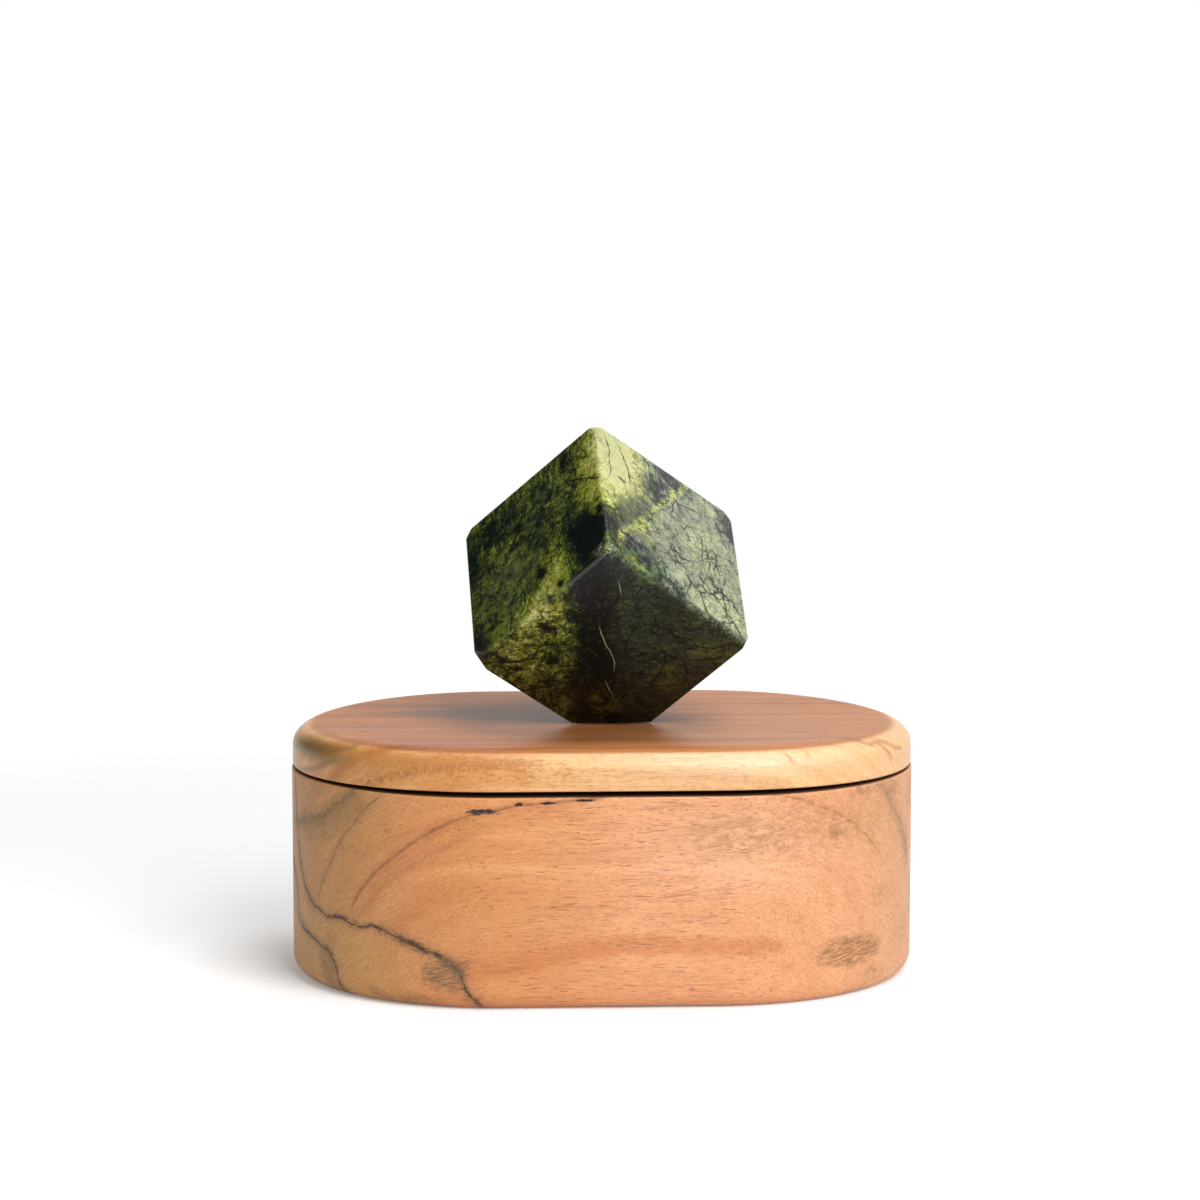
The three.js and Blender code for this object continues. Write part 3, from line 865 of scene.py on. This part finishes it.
    # Grey clouds on the upper right face: partly painted sheen
    stain_clouds((
        ((5, 24, -6), (8, 4, 9)), ((-3, 24, 10), (5, 4, 5)), ((14, 24, -12), (4, 4, 5)),
    ), medium.fade(0.36, 0.6) * upon_right, 0.6, (0.20, 0.205, 0.20))
    paler = cloud((17, 24, 12), (8, 5, 13)) * upon_right
    stone.stain(paler, 0.4, (0.45, 0.46, 0.245))
    cool = medium.fade(0.42, 0.30) * small.fade(0.4, 0.6)
    stone.stain(cool * upon_right, 0.5, (0.115, 0.13, 0.125))
    veil = medium.fade(0.34, 0.58) * upon_left
    for spots, amount in (
        ([((24, -13, -9), (4, 9, 13))], 0.32), ([((24, 3, 9), (4, 10, 8))], 0.2),
        ([((24, -4, -6), (4, 6, 7))], 0.22),
    ):
        stain_clouds(spots, veil, amount, (0.10, 0.13, 0.07))
    stain_clouds((
        ((24, 4.5, -10), (4, 3, 5)), ((24, 6, -19), (4, 4, 5)), ((24, -1, -22), (4, 4, 3)),
        ((24, 18, 8), (4, 4, 8)), ((24, 21, -2), (4, 2.5, 6)), ((24, -14, -17), (4, 4, 5)),
    ), medium.fade(0.44, 0.58) * upon_left, 0.6, (0.235, 0.25, 0.014))
    web_ground = below * across.fade(4, -6) * small.fade(0.34, 0.54)
    stone.stain(web_ground, 0.85, (0.046, 0.054, 0.038))
    stain_clouds((
        ((-15.5, 3, -24), (5, 4.5, 3)), ((-17.4, 14.6, -24), (4, 4, 3)), ((-22, 17.6, -24), (3, 3, 3)),
        ((4.5, 6.5, -24), (2.4, 2.4, 2)), ((-11.5, -14, -24), (2.2, 4, 2)), ((8, 12, -24), (2, 2, 2)),
    ), medium.fade(0.42, 0.56) * below, 0.65, (0.085, 0.10, 0.016))
    mauve = small.fade(0.46, 0.62) * below
    stain_clouds([((17, 9.5, -24), (6, 5, 4))], mauve, 0.7, (0.050, 0.043, 0.055))
    green_cells = cloud((12, 24, -20), (8, 4, 4)) * medium.fade(0.48, 0.6)
    stone.stain(green_cells * upon_right, 0.6, (0.10, 0.19, 0.09))

    # Webs of cracks, lace, specks and black spots
    black = (0.005, 0.006, 0.006)
    dense = stone.noise(7).fade(0.36, 0.62)
    uneven = stone.noise(2.2, 3).fade(0.3, 0.7)
    calm = (1 + cloud((18, 24, 11), (7, 4, 13)) * -0.8) * (1 + below * -0.35)
    net_place = stone.shift(stone.spot, 1.3, 3.4, 3)
    for size, width, amount, on_left in (
        (7.2, 0.14, 0.9, 0.5), (3.4, 0.07, 0.8, 0.8), (1.7, 0.03, 0.5, 0.8),
    ):
        gap = stone.cells(stone.vector("SCALE", net_place, scale=1 / size)) * size
        limit = (0.35 + uneven * 1.3) * width
        crack = (gap - limit).fade(0.09, 0)
        share = (1 + upon_left * (on_left - 1)) * calm
        stone.stain(crack * (0.25 + dense * 0.75) * share, amount, black)
    skewed = stone.join(left + right, left - right, back)
    flat_place = stone.shift(skewed, 2.2, 5, 4)
    lace = stone.cells(stone.vector("SCALE", flat_place, scale=1 / 2.1)) * 2.1
    lace = lace.fade(0.1, 0.02) * medium.fade(0.5, 0.62)
    stone.stain(lace * stone.most(upon_right, below * 0.5), 0.4, (0.34, 0.35, 0.29))
    for size, amount in (((4.2, 11, 9), 0.92), ((2.1, 4, 5), 0.55)):
        flat_cells = stone.cells(stone.vector("DIVIDE", flat_place, size)) * size[0]
        stone.stain(flat_cells.fade(0.2, 0.07) * below * (0.3 + uneven * 0.7), amount, black)
    for low, high, size, amount in ((0.60, 0.66, 1.1, 0.85), (0.585, 0.64, 0.5, 0.5)):
        specks = stone.noise((size, size, size * 1.3), 5, 0.75, warped).fade(low, high)
        stone.stain(specks, amount, black)
    stain_clouds((
        ((23.5, 0.8, -12.3), (1.5, 1.9, 1.6)), ((22.6, 7, -20.5), (1.6, 1.6, 1.2)),
        ((23.5, 3.6, -23), (1.2, 1.4, 1)), ((17.6, -4.4, -23.5), (1.3, 0.9, 1.2)),
        ((23.5, 11.6, 18.5), (1.3, 1.3, 3.4)), ((15.8, 23.5, 7.6), (1.6, 1.2, 0.9)),
        ((23.5, -5, 9), (1.2, 1.4, 3)),
    ), 1, 0.94, black, soft=0.45)
    blots = stone.noise(1.5, 4, 0.65, warped).fade(0.46, 0.53)
    stain_clouds((
        ((14, -20, -23.5), (4, 3, 2)), ((18, -4.1, -23.5), (3.4, 1.7, 2)),
        ((10.8, -10.5, -23.5), (2.2, 2, 1.4)), ((5.7, -17, -23.5), (2.4, 2.4, 2)),
        ((0, -15.8, -23.5), (2.6, 3.4, 2)), ((23.5, 12, 19), (2, 2, 4)),
        ((23.5, 0.4, -12.4), (2, 2.2, 2)), ((23.5, 2.7, -20.9), (2, 1.6, 1.6)),
        ((23.5, -1.7, 2.6), (2, 2.4, 2)), ((23.5, -5, 6), (2, 2, 3)),
        ((23.5, -3.7, 11.7), (2, 1.2, 2.4)), ((23.5, -7.8, 3.9), (2, 1.4, 1.4)),
        ((23.5, -14.5, 3.5), (2, 2, 1.2)), ((23.5, -20.8, -5), (2, 1.6, 2)),
        ((23.5, 8.7, 10.2), (2, 1.1, 1.6)),
    ), blots, 0.9, black, edge=0)
    ochre = medium.fade(0.44, 0.58)
    stain_clouds([((-9.5, -12.5, -24), (4.5, 3.5, 3))], ochre, 0.6, (0.15, 0.135, 0.02), soft=0.5)

    # Cracks drawn on the three front faces, in millimetres from the middle of a face
    for face, share, lines in (
        ((left, back), upon_right, (
            [(8.8, -12.1), (3.9, -9.7), (-0.6, -10.1), (-6.1, -8.1)],
            [(-10.2, 8), (-10.5, 3.9), (-9.9, -0.8), (-9.7, -4.4)],
            [(-3.8, 2.7), (-5.9, 6), (-9.4, 7.5)],
            [(-18.1, -3.5), (-15.8, -10.7), (-16.1, -16.1), (-18.9, -19.7), (-20, -23.5)],
            [(21.5, 21.5), (19.6, 18.6), (19.6, 12), (19.5, 8.5), (20.9, 3.8)],
            [(16.5, 21), (13.4, 13.2), (13, 7.5)], [(11.4, 23.3), (6.4, 21.6), (5.9, 14)],
            [(20.7, -5.3), (19.9, -8.2), (16.8, -9)], [(-7.5, -17.6), (-8.7, -20.9), (-10.8, -23.6)],
            [(-17.4, 22.6), (-17.6, 20.6), (-19.2, 17)], [(-20.1, -1), (-21.3, -2.3), (-23.4, -3.6)],
            [(-0.8, -10.5), (-4.2, -13.3), (-2.8, -19.2), (-1.4, -23.4)],
            [(-13.1, 4.8), (-15.2, 1.8), (-14, -5), (-17.2, -7.5)],
        )),
        ((right, back), upon_left, (
            [(-4.6, 4), (-6.7, -0.3), (-11.7, -0.6), (-17.5, 1.6)], [(1.2, 3.6), (0, -1.8), (-2.4, -4.2)],
            [(-10.2, -14.3), (-9.7, -19.5), (-11.4, -23)],
            [(10.6, -1.6), (6.7, -3.4), (3.8, -5.1), (1.6, -8.8)],
            [(-6.6, -10.6), (-4.7, -16), (-5.9, -19.3), (-9, -20.8)],
            [(11.4, -10.6), (10.8, -16.8), (12.2, -22)],
            [(18.8, 6.5), (17.5, 1.5), (16.4, -2.9)], [(12.6, 11), (18.7, 6.5), (23, 3)],
            [(-14, 17), (-11.6, 9.6), (-12.9, 3.8)],
        )),
        ((left, right), below, (
            [(2.5, 11.4), (-2.5, 13), (-6.8, 15.3), (-10.1, 18.6), (-11.5, 21.4)],
            [(-7, 11.8), (-13, 14.3), (-17.4, 16.9), (-19.6, 21.1)],
            [(21.6, -6.4), (18, -4.1), (16.4, -3.1), (13.4, 0.1)],
            [(19.2, 0.6), (17.8, -2), (13.7, -4.6), (12, -7.4)], [(20, -8.6), (18.2, -5)],
            [(-3.6, 1.2), (0.7, 6.2), (1.3, 9.4), (0.9, 12.8)],
            [(0, 11.8), (-4.8, 11.4), (-8.5, 13.5), (-12.4, 16.4)],
            [(-2.4, 0.3), (-5.1, 3.6), (-8.3, 7), (-12.8, 9.1), (-17.4, 11.8), (-21.6, 17)],
            [(-13.4, -1.4), (-19.3, 2.5), (-21.7, 5.5), (-22.6, 10.4)],
            [(-6.4, 9.2), (-11.1, 6.7), (-13, 2.5), (-14.3, -2.6)],
            [(-12.8, 10.2), (-17.1, 7.6), (-22.6, 3.6)],
            [(20.2, -12.6), (15.2, -9.2), (12, -5.9), (8.4, -3.8)],
            [(22.2, -21.8), (16.9, -17.7), (14.4, -14.8), (12, -11)],
            [(11.6, -23.4), (7.6, -21.7), (5.2, -18.5), (1.8, -13.8)],
            [(7.8, -12), (4.6, -8.9), (2.1, -5.8)], [(7, -16), (1.5, -19.6), (-3, -23.4)],
            [(7, -6.4), (1.3, -10.2), (-1.6, -16.6)],
        )),
    ):
        for points in lines:
            drawn = stone.line(face, points, 0.03 + uneven * 0.2, bends, 0.12)
            stone.stain(drawn * share, 0.9, black)

    # Pale veins, chips, a painted highlight along the edge between the upper left and lower faces, and
    # fine scratches
    band_line = stone.line((left, back), [
        (-7.9, 22.4), (-3.9, 17.2), (-0.7, 12.6), (8.2, -1.1), (12.1, -6.8), (15.8, -10.5),
        (18.6, -15.7), (19, -19.4),
    ], 0.35, frayed * 4.8, 1.3)
    broken = (medium.swing(1) + small).fade(0.44, 0.6)
    stone.stain(band_line * upon_right * broken, 0.8, (0.50, 0.51, 0.11))
    for points in (
        [(8.8, 4.5), (3.6, 1.4), (-1.5, -1.1), (-4.3, -3.8)],
        [(-4.3, -7.2), (-6.8, -8.5), (-10, -10.1)],
        [(15.2, 17.9), (13, 16.3), (11.2, 14.8)], [(-12, -16.6), (-14.4, -18)],
    ):
        vein = stone.line((left, right), points, 0.04, bends * 0.5, 0.14)
        stone.stain(vein * below, 0.75, (0.42, 0.42, 0.25))
    chips = cloud((22.5, 22.5, -21.5), (2.6, 2.6, 2.6), soft=0.5) * small.fade(0.5, 0.6)
    stone.stain(chips, 0.6, (0.42, 0.45, 0.36))
    # Painted highlight on the eased edge below the upper left face
    stone_edge_painted_highlight = left.fade(22.3, 22.9) * back.fade(-22.3, -22.9)
    stone.stain(stone_edge_painted_highlight * right.fade(4, 12), 0.2, (0.22, 0.23, 0.19))
    scratches = stone.noise((2.4, 0.3, 0.3), 3, 0.7, skewed).fade(0.6, 0.7)
    stone.stain(scratches * below * tone.fade(0.3, 0.1), 0.24, (0.05, 0.05, 0.045))

    stone.rough(small * 0.4 - specks * 0.5, 0.05, 0.35)
    stone.polish(medium * 0.2 + 0.18)
    return stone.paint()


def pin_steel():
    """Turned steel with fine rings"""
    steel = Finish("turned_pin_steel", 0.3)
    steel.shader["Metallic"].default_value = 1
    turning = steel.noise((8, 8, 0.08))
    steel.rough(turning, 0.02, 0.4)
    steel.colour = steel.mix(turning, (0.46, 0.47, 0.48), (0.62, 0.63, 0.64))
    return steel.paint()


def liner_felt():
    """Short dark felt: fine crossed fibres, cloudy, with a soft sheen"""
    felt = Finish("pressed_liner_felt", 0.95)
    fibres = felt.most(
        felt.noise((0.9, 0.12, 0.3), 3, place=felt.shift(felt.spot, 0.6, 2)),
        felt.noise((0.12, 0.9, 0.3), 3, place=felt.shift(felt.spot, 0.6, 2.4)),
    )
    felt.colour = felt.mix(fibres.fade(0.4, 0.75), (0.010, 0.008, 0.007), (0.045, 0.036, 0.030))
    felt.stain(felt.noise(9, 3), 0.35, (0.030, 0.022, 0.018))
    felt.rough(fibres, 0.25, 0.8)
    felt.shader["Sheen Weight"].default_value = 0.35
    felt.shader["Sheen Roughness"].default_value = 0.5
    return felt.paint()


# Pieces: one for each of the CAD's shapes but the pin, which only gets its steel

def box_body():
    """Hollow oval body with a rounded foot, an eased rim and a filleted floor"""
    rim_start = BODY_HEIGHT - RIM_OUTER_ROUND
    inner_start = BODY_HEIGHT - RIM_INNER_ROUND
    profile = [
        (INNERMOST, 0, 0),
        (BODY_LOWER_ROUND + 0.7, 0, 0),
        *rounding([BODY_LOWER_ROUND] * 2, [BODY_LOWER_ROUND] * 2, -90),
        (0, BODY_LOWER_ROUND + 0.6, 0),
        *upright(BODY_LOWER_ROUND + 0.6, rim_start - 0.4, 0, 16),
        (0, rim_start - 0.4, 0),
        *rounding([RIM_OUTER_ROUND, rim_start], [RIM_OUTER_ROUND] * 2, 0, steps=5),
        (RIM_OUTER_ROUND + 0.4, BODY_HEIGHT, 0),
        (WALL - RIM_INNER_ROUND - 0.4, BODY_HEIGHT, 0),
        *rounding([WALL - RIM_INNER_ROUND, inner_start], [RIM_INNER_ROUND] * 2, 90, steps=6),
        (WALL, inner_start - 0.5, 0),
        *upright(inner_start - 0.5, FLOOR + FLOOR_FILLET + 0.6, WALL, 12),
        (WALL, FLOOR + FLOOR_FILLET + 0.6, 0),
        *rounding([WALL + FLOOR_FILLET, FLOOR + FLOOR_FILLET], [FLOOR_FILLET, -FLOOR_FILLET], 0),
        (WALL + FLOOR_FILLET + 0.7, FLOOR, 0),
        (INNERMOST, FLOOR, 0),
    ]
    mesh = closed_shape(profile)
    return finish_piece(mesh, "oval_box_body", "box", body_timber(), "box_body")


def lid():
    """Cupped lid board: rounded upper edge, recess below for the panel, blind bore for the pin"""
    mesh = bmesh.new()
    side_top = LID_TOP - LID_ROUND_HEIGHT
    lower_centre = [LID_INSET + LID_LOWER_ROUND, LID_UNDERSIDE + LID_LOWER_ROUND]
    top_centre = [LID_INSET + LID_ROUND_WIDTH, side_top]
    profile = [
        (LID_INNERMOST, RECESS_CEILING, 0),
        (RECESS_INSET + 0.05, RECESS_CEILING, 0),
        (RECESS_INSET, RECESS_CEILING, 0),
        (RECESS_INSET, LID_UNDERSIDE + 0.05, LID_CUP),
        (RECESS_INSET - 0.05, LID_UNDERSIDE, LID_CUP),
        *[(RECESS_INSET - 0.05 - 1.5 * i, LID_UNDERSIDE, LID_CUP) for i in range(1, 5)],
        (lower_centre[0] + 0.4, LID_UNDERSIDE, LID_CUP),
        *rounding(lower_centre, [LID_LOWER_ROUND] * 2, -90, LID_CUP, 5),
        (LID_INSET, lower_centre[1] + 0.4, LID_CUP),
        (LID_INSET, side_top - 0.8, LID_CUP),
        *rounding(top_centre, [LID_ROUND_WIDTH, LID_ROUND_HEIGHT], 0, LID_CUP, 14),
        *[(top_centre[0] + 1 + 4.1 * i, LID_TOP, LID_CUP) for i in range(9)],
    ]
    underside, middle = carry_round(mesh, profile)
    bmesh.ops.contextual_create(mesh, geom=underside)
    bore(mesh, middle, PIN_X, LID_TOP, BORE_FLOOR_IN_LID)
    return finish_piece(mesh, "oval_lid", "lid", lid_timber(), "lid")


def locating_panel():
    """Panel under the lid with a bevelled lower edge"""
    profile = [
        (INNERMOST, PANEL_BOTTOM, 0),
        (PANEL_INSET + PANEL_BEVEL + 0.2, PANEL_BOTTOM, 0),
        (PANEL_INSET + PANEL_BEVEL - 0.1, PANEL_BOTTOM + 0.05, 0),
        (PANEL_INSET + 0.05, PANEL_BOTTOM + PANEL_BEVEL - 0.1, 0),
        (PANEL_INSET, PANEL_BOTTOM + PANEL_BEVEL + 0.2, 0),
        (PANEL_INSET, RECESS_CEILING - 0.2, 0),
        (PANEL_INSET + 0.2, RECESS_CEILING, 0),
        (INNERMOST, RECESS_CEILING, 0),
    ]
    mesh = closed_shape(profile)
    return finish_piece(
        mesh, "lid_locating_panel", "lid", panel_timber(), "locating_panel",
    )


def slice_off(mesh, spot, outward):
    """Saws away what lies beyond a plane, and closes the cut"""
    everything = mesh.verts[:] + mesh.edges[:] + mesh.faces[:]
    cut = bmesh.ops.bisect_plane(
        mesh, geom=everything, dist=1e-5, plane_co=spot, plane_no=outward, clear_outer=True,
    )["geom_cut"]
    edges = [part for part in cut if isinstance(part, bmesh.types.BMEdge)]
    return bmesh.ops.contextual_create(mesh, geom=edges)["faces"]


def stone_cube():
    """Polished cube on a sawn corner, its edges eased and its corners faceted, bored for the pin"""
    mesh = bmesh.new()
    turned = Matrix.Translation(STONE_CENTRE) @ STONE_TURN.to_4x4()
    bmesh.ops.create_cube(mesh, size=STONE_EDGE, matrix=turned)
    signs = (1, -1)
    for corner in ((a, b, c) for a in signs for b in signs for c in signs):
        outward = STONE_TURN @ Vector(corner).normalized()
        lower_left = outward.x < 0 and outward.y < 0 and outward.z < 0
        facet = STONE_LEFT_FACET if lower_left else STONE_FACET
        slice_off(mesh, STONE_CENTRE + outward * (HALF_DIAGONAL - facet), outward)
    bmesh.ops.bevel(
        mesh, geom=mesh.edges[:], offset=STONE_ROUND, offset_type="OFFSET", segments=4,
        profile=0.5, affect="EDGES", material=-1, clamp_overlap=True,
    )
    foot = slice_off(mesh, Vector((0, 0, STONE_FOOT)), Vector((0, 0, -1)))
    mouth = list(foot[0].edges)
    bmesh.ops.delete(mesh, geom=foot, context="FACES_ONLY")
    bore(mesh, mouth, PIN_X, STONE_FOOT, BORE_TOP_IN_STONE)
    return finish_piece(mesh, "green_stone_cube", "lid", green_stone(), "stone_cube")


def felt_liner():
    """Pressed felt pad laid on the floor of the box"""
    profile = [
        (INNERMOST, LINER_BASE, 0),
        (LINER_INSET + 0.1, LINER_BASE, 0),
        (LINER_INSET, LINER_BASE + 0.1, 0),
        *rounding([LINER_INSET + LINER_ROUND, LINER_TOP - LINER_ROUND], [LINER_ROUND] * 2, 0, steps=5),
        *[(LINER_INSET + LINER_ROUND + 1 + 3 * i, LINER_TOP, 0) for i in range(12)],
    ]
    mesh = closed_shape(profile)
    for spot in mesh.verts:
        if spot.co.z > FLOOR + 1:
            spot.co.z -= LINER_DIP * (noise.noise(spot.co * 0.12) + 1) / 2
    return finish_piece(mesh, "felt_liner_pad", "box", liner_felt(), "felt_liner")


box_body()
lid()
locating_panel()
stone_cube()
liner = felt_liner()

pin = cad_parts["stone_pin"]
for pin_slot in pin.material_slots:
    pin_slot.material = pin_steel()


# Studio: white floor that runs into a white surround, a large light at the right, a softbox above

def white_surround():
    """White to the camera and in mirrored views, and a dim fill light for everything else"""
    world = bpy.data.worlds.new("white_surround")
    bpy.context.scene.world = world
    world.use_nodes = True
    sky = Steps(world.node_tree)
    background = sky.nodes["Background"].inputs
    seen = sky.most(sky.ray("Camera"), sky.most(sky.ray("Glossy"), sky.ray("Transmission")))
    sky.feed(background["Color"], WHITE)
    sky.feed(background["Strength"], seen.fade(0, 1, FILL_LEVEL, 1))


def studio_floor():
    """White floor disc that keeps the object's shadow and fades into the surround"""
    mesh = bmesh.new()
    bmesh.ops.create_circle(mesh, cap_ends=True, radius=FLOOR_RADIUS, segments=96)
    material = bpy.data.materials.new("white_paper")
    material.use_nodes = True
    paper = Steps(material.node_tree)
    paper.nodes.clear()
    away = paper.vector("LENGTH", paper.output("ShaderNodeTexCoord", which="Object"))
    seen = paper.most(paper.ray("Camera"), paper.ray("Glossy"))
    lift = paper.output("ShaderNodeEmission", {
        "Color": WHITE, "Strength": seen * away.fade(*FLOOR_BRIGHTENS, *FLOOR_LIFT),
    })
    matt = paper.output("ShaderNodeBsdfDiffuse", {"Color": (FLOOR_GREY,) * 3})
    both = paper.output("ShaderNodeAddShader", {0: matt, 1: lift})
    clear = paper.output("ShaderNodeBsdfTransparent")
    blend = paper.output("ShaderNodeMixShader", {0: away.fade(*FLOOR_CLEARS), 1: both, 2: clear})
    paper.node("ShaderNodeOutputMaterial", {"Surface": blend})
    floor = into_scene(mesh, "studio_floor", material)


def softbox(name, place, size, brightness):
    """Square lamp of a brightness, turned towards the box"""
    data = bpy.data.lights.new(name, "AREA")
    data.shape = "RECTANGLE"
    data.size = data.size_y = size
    data.energy = 4 * size * size * brightness
    lamp = bpy.data.objects.new(name, data)
    lamp.location = place
    lamp.rotation_euler = (Vector(LAMP_AIM) - Vector(place)).to_track_quat("-Z", "Y").to_euler()
    bpy.context.scene.collection.objects.link(lamp)


def dark_card(place, size, aim):
    """Black card beside the set: the camera doesn't see it, and the polished stone does"""
    mesh = bmesh.new()
    turn = (Vector(aim) - Vector(place)).to_track_quat("Z", "Y").to_matrix().to_4x4()
    bmesh.ops.create_grid(
        mesh, x_segments=1, y_segments=1, size=size / 2, matrix=Matrix.Translation(place) @ turn,
    )
    cloth = Finish("black_card", 1, 0)
    cloth.colour = (0.01, 0.01, 0.01)
    card = into_scene(mesh, "dark_card", cloth.paint())
    card.visible_camera = False


def front_camera():
    """The photograph's long lens, a little above the lid"""
    data = bpy.data.cameras.new("front_camera")
    data.lens = CAMERA_LENS
    data.sensor_width = SENSOR_WIDTH
    camera = bpy.data.objects.new("front_camera", data)
    camera.location = CAMERA_PLACE
    camera.rotation_euler = (math.radians(CAMERA_TILT), 0, math.radians(CAMERA_TURN))
    bpy.context.scene.collection.objects.link(camera)
    bpy.context.scene.camera = camera


white_surround()
studio_floor()
dark_card((-0.44, 0.36, 0.40), 0.62, (0, 0, 0.1))
softbox("overhead_light", (0.20, -0.05, 1.00), 0.5, 4.2)
softbox("window_light", (0.50, -0.92, 0.79), 0.85, 5.1)
front_camera()
bpy.context.scene.view_settings.view_transform = "Standard"
